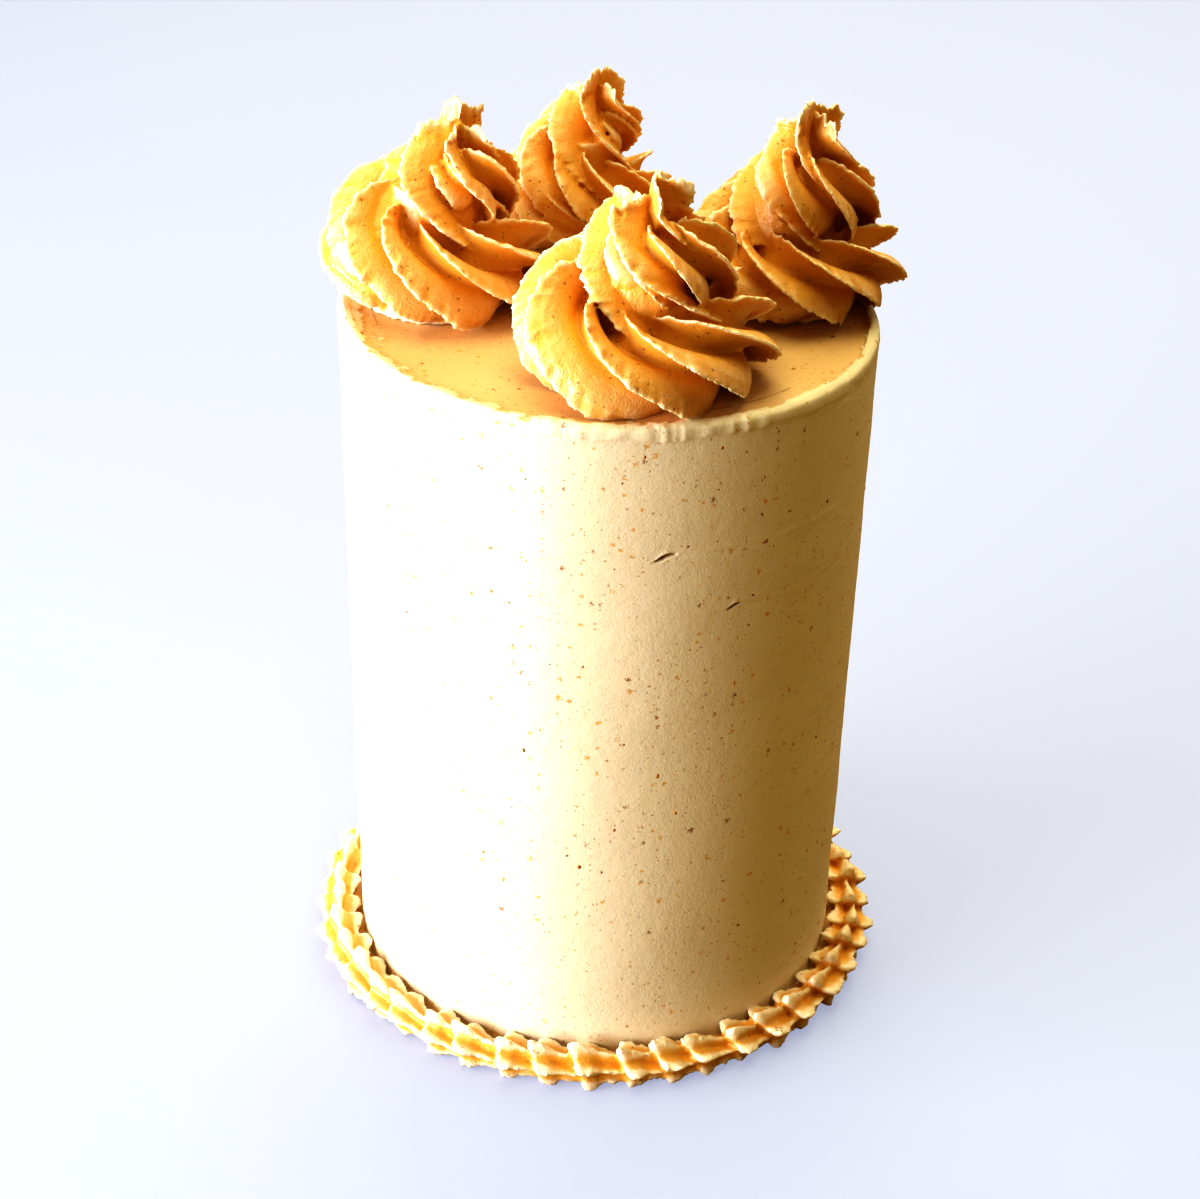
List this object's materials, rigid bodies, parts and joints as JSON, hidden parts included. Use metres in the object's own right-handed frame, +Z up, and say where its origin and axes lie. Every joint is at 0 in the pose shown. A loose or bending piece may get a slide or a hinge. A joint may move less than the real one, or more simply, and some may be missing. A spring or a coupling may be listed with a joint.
{
  "type": "chocolate peanut butter cake",
  "caption": "Tall round iced layer cake with star-piped icing swirls on its top and a piped shell border at its foot.",
  "frame": {"origin": "centre of the cake's flat underside, on the surface that it stands on", "axes": "+Z up the cake, -Y towards the side that the picture shows, +X to that side's right"},
  "size_m": [0.1288, 0.1286, 0.1947],
  "materials": {
    "pale_icing": "smooth soft buttercream with small peanut specks",
    "tan_icing": "piped peanut butter icing with sharp torn ridges"
  },
  "bodies": {
    "root": {"cake": "pale_icing", "swirl_front": "tan_icing", "swirl_left": "tan_icing", "swirl_right": "tan_icing", "swirl_back": "tan_icing", "border": "tan_icing"}
  },
  "joints": []
}
